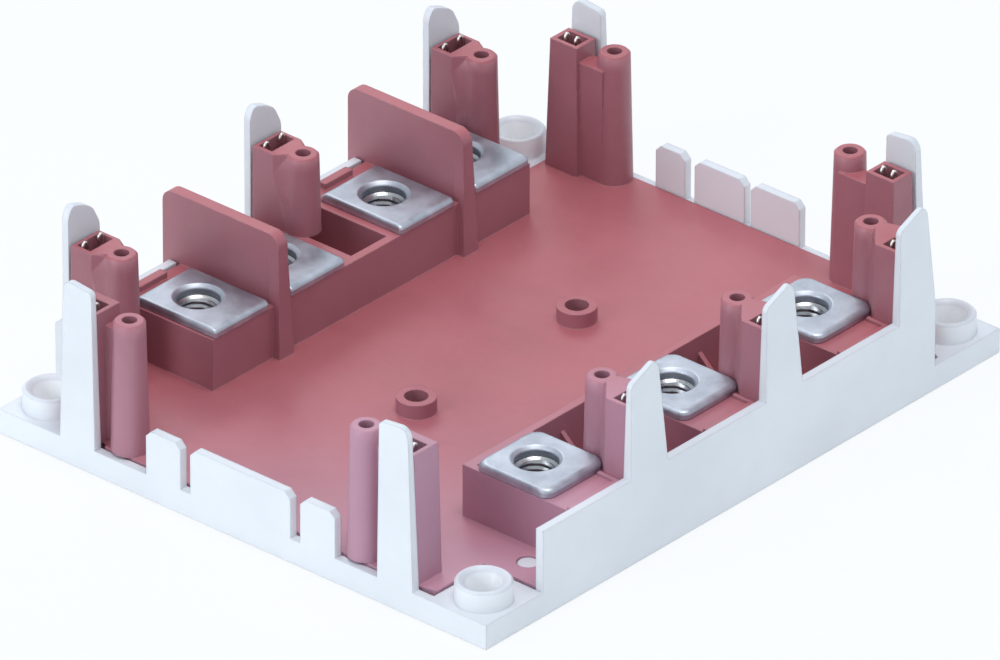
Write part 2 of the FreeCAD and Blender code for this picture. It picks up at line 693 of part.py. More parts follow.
def make_supply_bar(label, tabs, level, sides, rail):
    """A rail with two tabs on legs and one foot for each ceramic tile."""
    body = new_body(label)
    back, leg = S.supply_tab_back, S.supply_tab_back - S.bar_thickness
    top = level + S.bar_thickness
    for index, x in enumerate(tabs):
        inner = S.upper_rail_back - S.overcut
        side_view = [(S.supply_tab_front, S.seat_top), (S.supply_tab_front, TAB_TOP), (back, TAB_TOP),
                     (back, level), (inner, level), (inner, top), (leg, top), (leg, S.seat_top)]
        half = S.supply_tab_width / 2
        extrude(body, "strip_%d" % index, x - half, x + half, [side_view], role="YZ_Plane")
    outer = S.bend_radius + S.bar_thickness
    bend(body, "strip", [(back, TAB_TOP, outer), (leg, S.seat_top, S.bend_radius),
                         (back, level, outer), (leg, top, S.bend_radius)])
    wide, narrow = S.supply_tab_width / 2 + S.overcut, S.supply_leg_width / 2
    sides_cut = []
    for x in tabs:
        sides_cut += [rectangle(x - wide, x - narrow, S.supply_tab_front, back + S.overcut),
                      rectangle(x + narrow, x + wide, S.supply_tab_front, back + S.overcut)]
    extrude(body, "leg_sides", S.bar_level, S.seat_top, sides_cut, cut=True)
    extrude(body, "rail", level, top, [rail])
    fingers, contacts, steps = [], [], []
    rail_y = rail[0][1]
    for x, side in zip(TILE_X, sides):
        middle = x + side * S.finger_bar_x
        low, high = middle - S.finger_bar_width / 2, middle + S.finger_bar_width / 2
        fingers.append(rectangle(low, high, S.finger_bar_reach, rail_y + S.bar_thickness))
        steps.append(rectangle(low, high, rail_y, rail_y + S.bar_thickness))
        contacts.append(rectangle(low, high, S.finger_bar_reach + S.bend_radius,
                                  S.finger_bar_reach + S.contact_length))
    extrude(body, "fingers", S.bar_level, BAR_TOP, fingers)
    if level.formula != S.bar_level.formula:
        extrude(body, "steps", S.bar_level, top, steps)
    extrude(body, "contacts", TILE_TOP, S.bar_level, contacts)
    holes = [(x, S.supply_hole_y, S.tab_hole_radius) for x in tabs]
    extrude(body, "holes", S.seat_top, TAB_TOP, circles=holes, cut=True)

    finish_tabs(body, S.supply_tab_front)
    return body


def make_nuts():
    body = new_body("terminal_nuts")
    top = NUT_FLOOR + S.nut_height
    extrude(body, "hexagons", NUT_FLOOR, top, [hexagon(x, y, S.nut_across_flats) for x, y in NUT_PLACES])
    bores = [(x, y, S.nut_bore_radius) for x, y in NUT_PLACES]
    extrude(body, "bores", NUT_FLOOR, top, circles=bores, cut=True)
    return body


def make_block(label, low, high, rectangles):
    """Flat pieces of one thickness, such as a copper layer or a row of chips."""
    body = new_body(label)
    extrude(body, label + "_sheet", low, high, rectangles)
    return body


def make_tile(phase, x):
    length, width = S.tile_length, S.tile_width
    copper_x, copper_y = width - 2 * S.copper_margin, length - 2 * S.copper_margin
    low = S.copper_thickness
    high = low + S.ceramic_thickness
    pieces = [make_block("base_copper_" + phase, 0, low, [centred(x, size(0), copper_x, copper_y)]),
              make_block("ceramic_tile_" + phase, low, high, [centred(x, size(0), width, length)])]
    gap = S.copper_gap / 2
    half_x, half_y = copper_x / 2, copper_y / 2
    signal = S.far_tower_y + S.tower_signal_step
    islands = [rectangle(x - half_x, x + half_x, -signal + gap, -gap),
               rectangle(x - half_x, x - gap, gap, signal - gap),
               rectangle(x + gap, x + half_x, gap, signal - gap),
               rectangle(x - S.switch_x, x + half_x, -half_y, -signal - gap),
               rectangle(x - half_x, x + half_x, signal + gap, half_y)]
    pieces.append(make_block("circuit_copper_" + phase, high, TILE_TOP, islands))
    switches = [centred(x + sx * S.switch_x, sy * S.switch_y, S.switch_side, S.switch_side)
                for sx in (-1, 1) for sy in (-1, 1)]
    diodes = [centred(x + sx * S.diode_x, sy * S.diode_y, S.diode_side, S.diode_side)
              for sx in (-1, 1) for sy in (-1, 1)]
    pieces.append(make_block("switch_chips_" + phase, TILE_TOP, CHIP_TOP, switches))
    pieces.append(make_block("diode_chips_" + phase, TILE_TOP, CHIP_TOP, diodes))
    pad = rectangle(x - width / 2 + S.tile_gap, x + width / 2 - S.tile_gap,
                    S.bar_thickness - S.output_tab_back, HOLLOW_FRONT - S.edge_gap)
    pieces.append(make_block("pressure_pad_" + phase, BAR_TOP, S.ledge_height, [pad]))
    return pieces


def make_contact(name, box):
    """Two contact springs of one tower, on inboard leads where no tile lies under them."""
    body = new_body("contact_springs_" + name)
    foot = TILE_TOP
    if name in LEAD_TOWERS:
        foot = TILE_TOP + S.lead_thickness
        leads = []
        for x, y in spring_places(box):
            side = 1 if x.number > 0 or name == "front_u" else -1
            outboard = x + side * S.lead_width / 2
            inboard = x - S.lead_reach if name == "front_u" else side * S.lead_end
            xs = sorted([outboard, inboard], key=lambda item: item.number)
            leads.append(rectangle(xs[0], xs[1], y - S.lead_width / 2, y + S.lead_width / 2))
        extrude(body, "leads", TILE_TOP, foot, leads)
    springs = [(x, y, S.spring_radius) for x, y in spring_places(box)]
    extrude(body, "springs", foot, S.spring_top, circles=springs)
    return body


pieces = [make_frame(), make_plate()]
pieces += [make_output_bar(phase, x) for phase, x in zip(PHASES, OUTPUT_X)]
lower_half = S.tile_pitch + S.finger_bar_x + S.finger_bar_width / 2
lower_rail = rectangle(-lower_half, lower_half, S.rail_front, S.upper_rail_back)
upper_half = S.supply_half_length - S.rail_end_room
upper_rail = rectangle(S.supply_middle - upper_half, S.supply_middle + upper_half,
                       S.upper_rail_front, S.upper_rail_back)
pieces.append(make_supply_bar("supply_bar_minus", SUPPLY_X[0::2], S.bar_level, (-1, -1, 1), lower_rail))
pieces.append(make_supply_bar("supply_bar_plus", SUPPLY_X[1::2], S.upper_rail_level, (1, 1, -1), upper_rail))
foil_half = HOLLOW_HALF - S.edge_gap
foil = rectangle(S.supply_middle - foil_half, S.supply_middle + foil_half, S.rail_front, S.upper_rail_back)
pieces.append(make_block("insulation_sheet", BAR_TOP, S.upper_rail_level, [foil]))
pieces.append(make_nuts())
for phase, x in zip(PHASES, TILE_X):
    pieces += make_tile(phase, x)
sensor = centred(S.diode_x, S.upper_rail_front + S.leg_gap, S.sensor_side, S.sensor_side)
pieces.append(make_block("temperature_sensor", TILE_TOP, TILE_TOP + S.sensor_height, [sensor]))
pieces += [make_contact(name, box) for name, post, box in TOWERS]

doc.recompute()
for item in doc.Objects:
    if "Invalid" in item.State or "Error" in item.State:
        raise ValueError("%s did not build: %s" % (item.Name, item.State))

os.makedirs("parts", exist_ok=True)
for piece in pieces:
    shape = piece.Shape
    if shape.isNull() or not shape.isValid():
        raise ValueError(piece.Label + " has no valid shape")
    shape.exportStep("parts/%s.step" % piece.Label)
    print("%-26s %3d solids %9.1f mm3" % (piece.Label, len(shape.Solids), shape.Volume))
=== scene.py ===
import json
import math

import bmesh
import bpy
from mathutils import Matrix, Vector
from mathutils.geometry import delaunay_2d_cdt


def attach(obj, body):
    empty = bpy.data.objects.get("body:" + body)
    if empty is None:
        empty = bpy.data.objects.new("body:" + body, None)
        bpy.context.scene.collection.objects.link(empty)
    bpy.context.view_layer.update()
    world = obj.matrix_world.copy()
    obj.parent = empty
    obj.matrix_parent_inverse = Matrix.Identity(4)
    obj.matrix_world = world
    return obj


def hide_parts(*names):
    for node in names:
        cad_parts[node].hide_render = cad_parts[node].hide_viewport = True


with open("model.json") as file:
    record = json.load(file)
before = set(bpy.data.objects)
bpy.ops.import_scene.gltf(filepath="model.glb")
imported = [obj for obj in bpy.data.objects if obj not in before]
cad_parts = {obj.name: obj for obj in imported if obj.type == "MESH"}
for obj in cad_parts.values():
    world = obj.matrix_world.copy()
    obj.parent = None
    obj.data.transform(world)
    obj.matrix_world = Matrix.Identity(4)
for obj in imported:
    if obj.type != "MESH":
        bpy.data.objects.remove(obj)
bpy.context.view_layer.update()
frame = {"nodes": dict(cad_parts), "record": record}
MM = 0.001


# Materials, all made from nodes in object coordinates, in metres

class Tree:
    """Builds one material's node tree with short calls."""

    def __init__(self, name):
        self.material = bpy.data.materials.new(name)
        self.material.use_nodes = True
        self.tree = self.material.node_tree
        self.shader = self.tree.nodes["Principled BSDF"]
        self.place = self.node("ShaderNodeTexCoord").outputs["Object"]

    def node(self, kind, inputs=(), **settings):
        made = self.tree.nodes.new(kind)
        for key, value in settings.items():
            setattr(made, key, value)
        for key, value in dict(inputs).items():
            self.feed(made.inputs[key], value)
        return made

    def feed(self, socket, value):
        if isinstance(value, bpy.types.NodeSocket):
            self.tree.links.new(value, socket)
        else:
            socket.default_value = value

    def stretched(self, scale):
        return self.node("ShaderNodeMapping", {"Vector": self.place, "Scale": scale}).outputs[0]

    def noise(self, size_mm, detail=3.0, rough=0.5, place=None):
        return self.node("ShaderNodeTexNoise", {"Vector": place or self.place, "Scale": 1000.0 / size_mm,
                                                "Detail": detail, "Roughness": rough}).outputs["Fac"]

    def ramp(self, value, low, high, to_low=0.0, to_high=1.0):
        return self.node("ShaderNodeMapRange", {"Value": value, "From Min": low, "From Max": high,
                                                "To Min": to_low, "To Max": to_high}).outputs[0]

    def math(self, operation, a, b):
        return self.node("ShaderNodeMath", {0: a, 1: b}, operation=operation).outputs[0]

    def mix(self, factor, a, b):
        made = self.node("ShaderNodeMix", data_type="RGBA")
        self.feed(made.inputs[0], factor)
        self.feed(made.inputs[6], a)
        self.feed(made.inputs[7], b)
        return made.outputs[2]

    def edge(self, radius_mm):
        """Rounded normal, and a mask that is 1 along the rounded edges."""
        rounded = self.node("ShaderNodeBevel", {"Radius": radius_mm * MM}, samples=6).outputs[0]
        true = self.node("ShaderNodeNewGeometry").outputs["True Normal"]
        dot = self.node("ShaderNodeVectorMath", {0: rounded, 1: true}, operation="DOT_PRODUCT").outputs["Value"]
        return rounded, self.ramp(dot, 0.995, 0.80)

    def bump(self, height, depth_mm, normal=None):
        inputs = {"Height": height, "Distance": depth_mm * MM, "Strength": 1.0}
        if normal is not None:
            inputs["Normal"] = normal
        return self.node("ShaderNodeBump", inputs).outputs[0]

    def finish(self, colour, rough, normal, metallic=0.0, specular=0.5):
        self.feed(self.shader.inputs["Base Color"], colour)
        self.feed(self.shader.inputs["Roughness"], rough)
        self.feed(self.shader.inputs["Normal"], normal)
        self.shader.inputs["Metallic"].default_value = metallic
        self.shader.inputs["Specular IOR Level"].default_value = specular
        return self.material


def moulded(name, deep, light, worn, rough, grain_mm, edge_mm, specular=0.5, streak=0.0, painted_sheen=None,
            sides=None):
    """Moulded plastic: cloudy colour, flow streaks, fine grain and paler rounded edges.

    sides multiplies the colour of upright faces, a painted light and shade by facing, and the near-corner colour is
    a painted sheen, a pale haze toward the near left corner.
    """
    t = Tree(name)
    cloud = t.ramp(t.noise(26.0, 4.0, 0.6), 0.35, 0.68)
    flow = t.ramp(t.noise(14.0, 5.0, 0.65, t.stretched((1.0, 0.22, 1.0))), 0.38, 0.70)
    speck = t.ramp(t.noise(0.35, 2.0, 0.6), 0.60, 0.78)
    rounded, edge = t.edge(edge_mm)
    base = t.mix(t.math("MULTIPLY", cloud, 0.75), deep, light)
    base = t.mix(t.math("MULTIPLY", flow, streak), base, light)
    # Painted light and shade: upright faces get their colour multiplied, lighter on the white and bluer on the red,
    # as the lamps light them.
    if sides:
        normal = t.node("ShaderNodeNewGeometry").outputs["True Normal"]
        facing = t.node("ShaderNodeSeparateXYZ", {0: normal}).outputs["Z"]
        upright_painted_light = t.node("ShaderNodeVectorMath", {0: base, 1: sides}, operation="MULTIPLY").outputs["Vector"]
        base = t.mix(t.ramp(facing, 0.8, 0.3), base, upright_painted_light)
    # Painted sheen: the colour turns paler toward the near left corner, with a cloudy break-up, standing in for a
    # glossy sheen there.
    if painted_sheen:
        place = t.node("ShaderNodeSeparateXYZ", {0: t.place})
        corner = t.math("ADD", place.outputs["X"], t.math("MULTIPLY", place.outputs["Y"], 0.8))
        near = t.math("POWER", t.ramp(corner, 0.004, -0.075), 2.0)
        sheen_amount = t.math("MULTIPLY", near, t.ramp(t.noise(18.0, 5.0, 0.6), 0.2, 0.8, 0.75, 1.0))
        base = t.mix(sheen_amount, base, painted_sheen)
    base = t.mix(t.math("MULTIPLY", speck, 0.16), base, worn)
    chipped = t.math("MULTIPLY", edge, t.ramp(t.noise(2.4, 3.0, 0.6), 0.40, 0.66, 0.12, 0.62))
    base = t.mix(chipped, base, worn)
    grain = t.math("ADD", t.noise(grain_mm, 3.0, 0.6), t.math("MULTIPLY", t.noise(grain_mm * 7, 2.0), 1.6))
    sheen = t.math("ADD", t.noise(6.0, 4.0), t.math("MULTIPLY", speck, 0.3))
    gloss = t.ramp(sheen, 0.3, 0.9, rough - 0.07, rough + 0.12)
    return t.finish(base, gloss, t.bump(grain, 0.012, rounded), specular=specular)


def metal(name, deep, light, rough, edge_mm, brush=(1.0, 9.0, 9.0), scratch=0.5):
    """Plated or bare metal: brushed grain, tarnish clouds, fine scratches and bright edges."""
    t = Tree(name)
    brushed = t.noise(0.5, 4.0, 0.65, t.stretched(brush))
    cloud = t.ramp(t.noise(4.5, 4.0, 0.6), 0.34, 0.70)
    lines = t.ramp(t.noise(0.22, 2.0, 0.5, t.stretched((0.25, 3.0, 3.0))), 0.62, 0.72)
    rounded, edge = t.edge(edge_mm)
    base = t.mix(cloud, deep, light)
    base = t.mix(t.math("MULTIPLY", edge, 0.6), base, [min(1.0, c * 1.12) for c in light[:3]] + [1.0])
    base = t.mix(t.math("MULTIPLY", lines, 0.35 * scratch), base, [c * 0.55 for c in deep[:3]] + [1.0])
    gloss = t.ramp(t.math("ADD", brushed, t.math("MULTIPLY", cloud, 0.5)), 0.3, 1.2, rough - 0.08, rough + 0.14)
    height = t.math("ADD", brushed, t.math("MULTIPLY", lines, scratch))
    return t.finish(base, gloss, t.bump(height, 0.006, rounded), metallic=1.0)


def linear(r, g, b):
    """A colour given as it looks on screen, 0 to 255."""
    values = [c / 255.0 for c in (r, g, b)]
    return [c / 12.92 if c <= 0.04045 else ((c + 0.055) / 1.055) ** 2.4 for c in values] + [1.0]


# The white's upright faces are painted lighter, as if more light fell on them.
WHITE = moulded("white_moulding", linear(214, 217, 224), linear(224, 227, 234), linear(240, 243, 247),
                0.42, 0.30, 0.35, sides=(1.19, 1.17, 1.12))
# The red's upright faces are painted in a bluer shade, and its near left corner gets a painted sheen.
RED = moulded("red_moulding", linear(168, 92, 100), linear(186, 108, 116), linear(210, 154, 162),
              0.42, 0.22, 0.30, streak=0.35, painted_sheen=linear(192, 146, 166), sides=(0.91, 1.20, 1.22))
TIN = metal("tin_plate", linear(168, 175, 187), linear(198, 205, 216), 0.44, 0.20)
ZINC = metal("zinc_plate", linear(150, 152, 156), linear(196, 198, 202), 0.28, 0.15)
SILVER = metal("silver_spring", linear(204, 200, 196), linear(238, 235, 230), 0.30, 0.05,
               (6.0, 6.0, 1.0))
COPPER = metal("bare_copper", linear(176, 104, 74), linear(214, 142, 108), 0.38, 0.08)
CERAMIC = moulded("fired_ceramic", linear(226, 226, 218), linear(238, 238, 232), linear(246, 246, 242),
                  0.55, 0.12, 0.05, 0.3)
CHIP = metal("chip_face", linear(96, 98, 104), linear(142, 144, 150), 0.34, 0.03, (4.0, 4.0, 4.0), 0.2)
FOAM = moulded("foam_pad", linear(40, 40, 44), linear(58, 58, 62), linear(84, 84, 88), 0.80, 0.60, 0.10, 0.2)
FILM = moulded("insulating_film", linear(198, 158, 84), linear(220, 184, 110), linear(232, 206, 150),
               0.22, 0.40, 0.02)

SLOT_LOOKS = {"frame": WHITE, "plate": RED, "terminal": TIN, "steel": ZINC, "spring": SILVER, "copper": COPPER,
              "ceramic": CERAMIC, "chip": CHIP, "foam": FOAM, "film": FILM}

for part in frame["record"]["subparts"]:
    node = frame["nodes"][part["node"]]
    node.data.materials.clear()
    node.data.materials.append(SLOT_LOOKS[part["material_slot"]])


# Pieces with more detail than the plain solids that they replace, drawn in millimetres

def new_piece(name, node, look, draw, smooth=True):
    """Make one object with a drawing function and put it in place of a node."""
    build = bmesh.new()
    draw(build)
    for face in build.faces:
        face.smooth = smooth
    bmesh.ops.recalc_face_normals(build, faces=build.faces)
    put_in_place(build, name, node, look)


def bridge(build, first, second):
    """Quads between two closed rows of vertices."""
    for i in range(len(first)):
        j = (i + 1) % len(first)
        build.faces.new((first[i], first[j], second[j], second[i]))


def tube(build, path, radius, sides=6):
    """Round wire along a path of points, with closed ends."""
    rings = []
    turn = None
    for i, point in enumerate(path):
        ahead = (path[min(i + 1, len(path) - 1)] - path[max(i - 1, 0)]).normalized()
        if turn is None:
            turn = ahead.orthogonal().normalized()
        turn = (turn - ahead * turn.dot(ahead)).normalized()
        across = ahead.cross(turn)
        rings.append([build.verts.new(point + (turn * math.cos(a) + across * math.sin(a)) * radius)
                      for a in (math.tau * k / sides for k in range(sides))])
    for first, second in zip(rings, rings[1:]):
        bridge(build, first, second)
    build.faces.new(rings[0])
    build.faces.new(rings[-1])


def draw_nuts(build):
    """Hexagon nuts with turned faces and a cut thread."""
    around, levels = 48, 40
    mouth, lead_in = NUT_CORE + 0.75, 0.35
    for x, y in NUTS:
        rows = []

        def ring(shape, z):
            return [build.verts.new((x + shape(a, z) * math.cos(a), y + shape(a, z) * math.sin(a), z))
                    for a in (math.tau * k / around for k in range(around))]

        def flats(a, z):
            return NUT_HALF / math.cos((a + math.pi / 6) % (math.pi / 3) - math.pi / 6)

        def turned(a, z):
            return min(flats(a, z), NUT_HALF * 1.04)

        def thread(a, z):
            phase = (z - a / math.tau) % 1.0
            return NUT_CORE + 0.34 * (1.0 - abs(2.0 * phase - 1.0))

        rows.append(ring(turned, NUT_LOW))
        rows.append(ring(flats, NUT_LOW + 0.4))
        rows.append(ring(flats, NUT_HIGH - 0.4))
        rows.append(ring(turned, NUT_HIGH))
        rows.append(ring(lambda a, z: mouth, NUT_HIGH))
        for k in range(levels + 1):
            rows.append(ring(thread, NUT_HIGH - lead_in - (NUT_HIGH - NUT_LOW - 2 * lead_in) * k / levels))
        rows.append(ring(lambda a, z: mouth, NUT_LOW))
        for first, second in zip(rows, rows[1:] + rows[:1]):
            bridge(build, first, second)


COIL_RADIUS, COIL_WIRE, COIL_TURNS, COIL_STEPS, COIL_TOP = 0.42, 0.25, 26, 10, 22.6
HOOK = ((0.42, 0.05, 23.0), (0.46, 0.0, 24.4), (0.36, 0.0, 25.7), (0.12, 0.0, 26.3), (-0.16, 0.0, 26.45),
        (-0.42, 0.0, 26.25), (-0.58, 0.0, 25.8), (-0.56, 0.0, 25.3))


def spring_drawer(middles, foot, leads):
    """Two coil springs with hooked upper ends, and the flat leads that they stand on."""
    def draw(build):
        low, count = foot + 0.12, COIL_STEPS * COIL_TURNS
        for x, y in middles:
            path = []
            for k in range(count + 1):
                angle = math.tau * k / COIL_STEPS
                path.append(Vector((x + COIL_RADIUS * math.cos(angle), y + COIL_RADIUS * math.sin(angle),
                                    low + (COIL_TOP - low) * k / count)))
            path += [Vector((x + dx, y + dy, z)) for dx, dy, z in HOOK]
            tube(build, path, COIL_WIRE)
        for (x0, y0, z0), (x1, y1, z1) in leads:
            rows = [[build.verts.new((x, y, z)) for x, y in ((x0, y0), (x1, y0), (x1, y1), (x0, y1))]
                    for z in (z0, z1)]
            bridge(build, rows[0], rows[1])
            build.faces.new(rows[0])
            build.faces.new(rows[1])
    return draw


def copied(node):
    """A node's mesh in millimetres, welded and with its flat faces joined."""
    build = bmesh.new()
    build.from_mesh(frame["nodes"][node].data)
    bmesh.ops.remove_doubles(build, verts=build.verts, dist=0.001 * MM)
    bmesh.ops.scale(build, vec=(1 / MM, 1 / MM, 1 / MM), verts=build.verts)
    bmesh.ops.dissolve_limit(build, angle_limit=0.004, verts=build.verts, edges=build.edges)
    return build


def as_piece(build, name, look):
    """Turn a mesh drawn in millimetres into an object that rides on the part."""
    bmesh.ops.scale(build, vec=(MM, MM, MM), verts=build.verts)
    mesh = bpy.data.meshes.new(name)
    build.to_mesh(mesh)
    build.free()
    mesh.materials.append(look)
    piece = bpy.data.objects.new(name, mesh)
    bpy.context.collection.objects.link(piece)
    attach(piece, "root")
    return piece


def put_in_place(build, name, node, look):
    """Turn a drawn mesh into the piece that stands for a node."""
    piece = as_piece(build, name, look)
    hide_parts(node)


def loose_piece(name, look, draw):
    """A piece that stands for no node of its own."""
    build = bmesh.new()
    draw(build)
    bmesh.ops.recalc_face_normals(build, faces=build.faces)
    as_piece(build, name, look)


def islands(mesh):
    """Bounds of each separate solid of a mesh, in millimetres."""
    build = bmesh.new()
    build.from_mesh(mesh)
    bmesh.ops.remove_doubles(build, verts=build.verts, dist=0.001 * MM)
    left = set(build.verts)
    found = []
    while left:
        stack = [left.pop()]
        points = []
        while stack:
            vert = stack.pop()
            points.append(vert.co / MM)
            for edge in vert.link_edges:
                other = edge.other_vert(vert)
                if other in left:
                    left.remove(other)
                    stack.append(other)
        found.append([Vector([pick(p[k] for p in points) for k in range(3)]) for pick in (min, max)])
    build.free()
    return found


def refill(build, level):
    """Draw one level's flat faces again after their outlines have moved."""
    build.verts.index_update()
    flat = [face for face in build.faces if all(abs(vert.co.z - level) < 0.01 for vert in face.verts)]
    bmesh.ops.delete(build, geom=flat, context="FACES_ONLY")
    bmesh.ops.delete(build, geom=[edge for edge in build.edges if not edge.link_faces], context="EDGES")
    rims = [edge.verts[:] for edge in build.edges if len(edge.link_faces) == 1
            and all(abs(vert.co.z - level) < 0.01 for vert in edge.verts)]
    verts = sorted({vert for pair in rims for vert in pair}, key=lambda vert: vert.index)
    order = {vert: i for i, vert in enumerate(verts)}
    points, _, faces, origins = delaunay_2d_cdt([vert.co.xy for vert in verts],
                                                [(order[a], order[b]) for a, b in rims], [], 0, 1e-5)[:4]
    corners = [verts[origin[0]] if origin else build.verts.new((*point, level))
               for point, origin in zip(points, origins)]
    for face in faces:
        x, y = sum((points[i] for i in face), Vector((0.0, 0.0))) / len(face)
        crossed = sum(1 for a, b in rims if (a.co.y > y) != (b.co.y > y)
                      and x < a.co.x + (b.co.x - a.co.x) * (y - a.co.y) / (b.co.y - a.co.y))
        turn = [corners[i] for i in face]
        if crossed % 2 and len(set(turn)) > 2 and not build.faces.get(turn):
            build.faces.new(turn)


def join_rims(build):
    """Split open edges where another open corner lies on them, and weld what then meets."""
    rims = [edge for edge in build.edges if len(edge.link_faces) == 1]
    corners = {vert for edge in rims for vert in edge.verts}
    for edge in rims:
        start, end = edge.verts
        way = end.co - start.co
        places = []
        for vert in corners - {start, end}:
            along = (vert.co - start.co).dot(way) / way.length_squared
            if 0.0 < along < 1.0 and (start.co + way * along - vert.co).length < 0.01:
                places.append(along)
        reach = 1.0
        for along in sorted(places, reverse=True):
            made = bmesh.utils.edge_split(edge, start, along / reach)[1]
            edge = next(link for link in made.link_edges if link.other_vert(made) is start)
            reach = along
    bmesh.ops.remove_doubles(build, verts=build.verts, dist=0.008)


LUG_X, LUG_Y, COLLAR_TOP, COLLAR_RADIUS, COLLAR_OPENING = 51.7, 41.9, 7.3, 3.4, 0.16
FIN_FOOT, FIN_TIP, END_FIN_Y = 3.0, 25.0, 25.0
FIN_INNER_Y, NEAR_FIN_INNER_X, FAR_FIN_OUTER_X = -44.85, -55.3, 57.3


def thin_fins(build):
    """Taper the fins of the frame's walls to the wall's own thickness, and open the collars' rims."""
    for vert in build.verts:
        x, y, z = vert.co
        at_end = abs(y) > END_FIN_Y
        if abs(y - FIN_INNER_Y) < 0.02:
            vert.co.y = -45.5 - 0.031 * (z - FIN_FOOT)
        if abs(z - COLLAR_TOP) < 0.01 and math.hypot(abs(x) - LUG_X, abs(y) - LUG_Y) < COLLAR_RADIUS:
            vert.co.x += (x - math.copysign(LUG_X, x)) * COLLAR_OPENING
            vert.co.y += (y - math.copysign(LUG_Y, y)) * COLLAR_OPENING
        if abs(x - NEAR_FIN_INNER_X) < 0.02 and at_end:
            vert.co.x = -55.88 - 0.016 * (z - FIN_FOOT)
        if abs(x - FAR_FIN_OUTER_X) < 0.02 and z > 5.0 and at_end:
            vert.co.x = 56.5


def round_fin_tips(build, radius):
    """Round the fins' upper corners, seen square to the wall."""
    corners = []
    for edge in build.edges:
        start, end = (vert.co for vert in edge.verts)
        way = (start - end).normalized()
        across_wall = max(abs(way.x), abs(way.y)) > 0.95 and (start - end).length < 3.0
        if (start.z + end.z) / 2 > FIN_TIP and across_wall:
            corners.append(edge)
    bmesh.ops.bevel(build, geom=corners, offset=radius, segments=4, profile=0.5, affect="EDGES",
                    clamp_overlap=True)


frame_mesh = copied("housing_frame")
thin_fins(frame_mesh)
round_fin_tips(frame_mesh, 0.8)
put_in_place(frame_mesh, "frame_moulding", "housing_frame", WHITE)


TOWER_TOP, DECK_TOP, SEAT_TOP = 25.9, 4.4, 13.0
POST_FOOT, POST_TAPER = 2.9, 0.5
BOX_HALF_X, BOX_HALF_Y = (2.6, 2.1), (3.1, 2.6)
POCKET_HALF_X, POCKET_HALF_Y = 1.45, 1.9
CHANNEL_HALF = 0.8


class Tower:
    """Moves the corners of one spring box so that it lies along its wall."""

    def __init__(self, x, y, left, right, front, back, pocket, channels, post):
        """Old middle, new sides (foot, top), the pocket's new sides, new channels, and the post's middle."""
        self.x, self.y = x, y
        self.post = post
        self.sides = (("x", x, BOX_HALF_X, left, right), ("y", y, BOX_HALF_Y, front, back))
        self.pocket = pocket
        self.channels = channels

    def holds(self, co):
        return abs(co.x - self.x) < BOX_HALF_X[0] + 0.1 and abs(co.y - self.y) < BOX_HALF_Y[0] + 0.1

    def move(self, vert):
        co = vert.co.copy()
        if not self.holds(co):
            return
        for side, (x, y) in zip((-1, 1), self.channels):
            dx, dy = co.x - self.x, co.y - self.y - side
            if abs(abs(dx) - CHANNEL_HALF) < 0.02 and abs(abs(dy) - CHANNEL_HALF) < 0.02:
                vert.co.x, vert.co.y = x + dx, y + dy
                return
        in_x, in_y = abs(co.x - self.x), abs(co.y - self.y)
        if abs(in_x - POCKET_HALF_X) < 0.02 and abs(in_y - POCKET_HALF_Y) < 0.02:
            left, right, front, back = self.pocket
            vert.co.x = left if co.x < self.x else right
            vert.co.y = front if co.y < self.y else back
            return
        part = (co.z - DECK_TOP) / (TOWER_TOP - DECK_TOP)
        if part < -0.001:
            return
        changes = {}
        for axis, middle, half, low, high in self.sides:
            reach = half[0] + (half[1] - half[0]) * part
            for sign, new in ((-1, low), (1, high)):
                if abs(getattr(co, axis) - middle - sign * reach) < 0.03:
                    changes[axis] = new[0] + (new[1] - new[0]) * part
        reach = math.hypot(co.x - self.post[0], co.y - self.post[1])
        on_post = reach < POST_FOOT - POST_TAPER * part + 0.12
        if len(changes) == 2 or not on_post:
            for axis, value in changes.items():
                setattr(vert.co, axis, value)


BOX_FRONT_Y, BOX_REAR_Y, BOX_END_X = -41.55, 42.55, 52.5
PLATE_EDGE_Y, WALL_SIDE_Y = -44.65, -45.45
TOWERS = {}
for phase, x in zip("uvw", (-20.5, 9.5, 39.5)):
    TOWERS["front_" + phase] = Tower(
        x, BOX_FRONT_Y, (x - 5.0, x - 4.8), (x + 2.2, x + 2.0), (WALL_SIDE_Y, -46.12), (-41.9, -42.1),
        (x - 4.1, x + 1.3, -45.4, -42.9), ((x - 3.0, -44.1), (x + 0.2, -44.1)), (x, -37.2))
for phase, x in zip("uvw", (-39.8, 0.0, 39.8)):
    TOWERS["rear_" + phase] = Tower(
        x, BOX_REAR_Y, (x - 3.6, x - 3.4), (x + 3.0, x + 2.8), (41.4, 41.6), (45.65, 45.6),
        (x - 2.7, x + 2.3, 42.4, 45.1), ((x - 1.8, 44.2), (x + 1.6, 44.2)), (x, 38.7))
for end, y in (("near", -29.7), ("far", 31.8)):
    TOWERS[end + "_left"] = Tower(
        -BOX_END_X, y, (-55.75, -56.1), (-50.5, -50.8), (y - 3.1, y - 2.7), (y + 3.1, y + 2.7),
        (-55.3, -52.3, y - 2.0, y + 2.0), ((-53.9, y - 1.0), (-53.9, y + 1.0)),
        (-53.7, -21.2 if end == "near" else 24.6))

plate_mesh = copied("pressure_plate")
for vert in plate_mesh.verts:
    for tower in TOWERS.values():
        if tower.holds(vert.co):
            tower.move(vert)
            break
    if abs(vert.co.y - PLATE_EDGE_Y) < 0.02:
        vert.co.y = WALL_SIDE_Y
for level in (DECK_TOP, SEAT_TOP, TOWER_TOP):
    refill(plate_mesh, level)
join_rims(plate_mesh)
bmesh.ops.recalc_face_normals(plate_mesh, faces=plate_mesh.faces)
put_in_place(plate_mesh, "plate_moulding", "pressure_plate", RED)


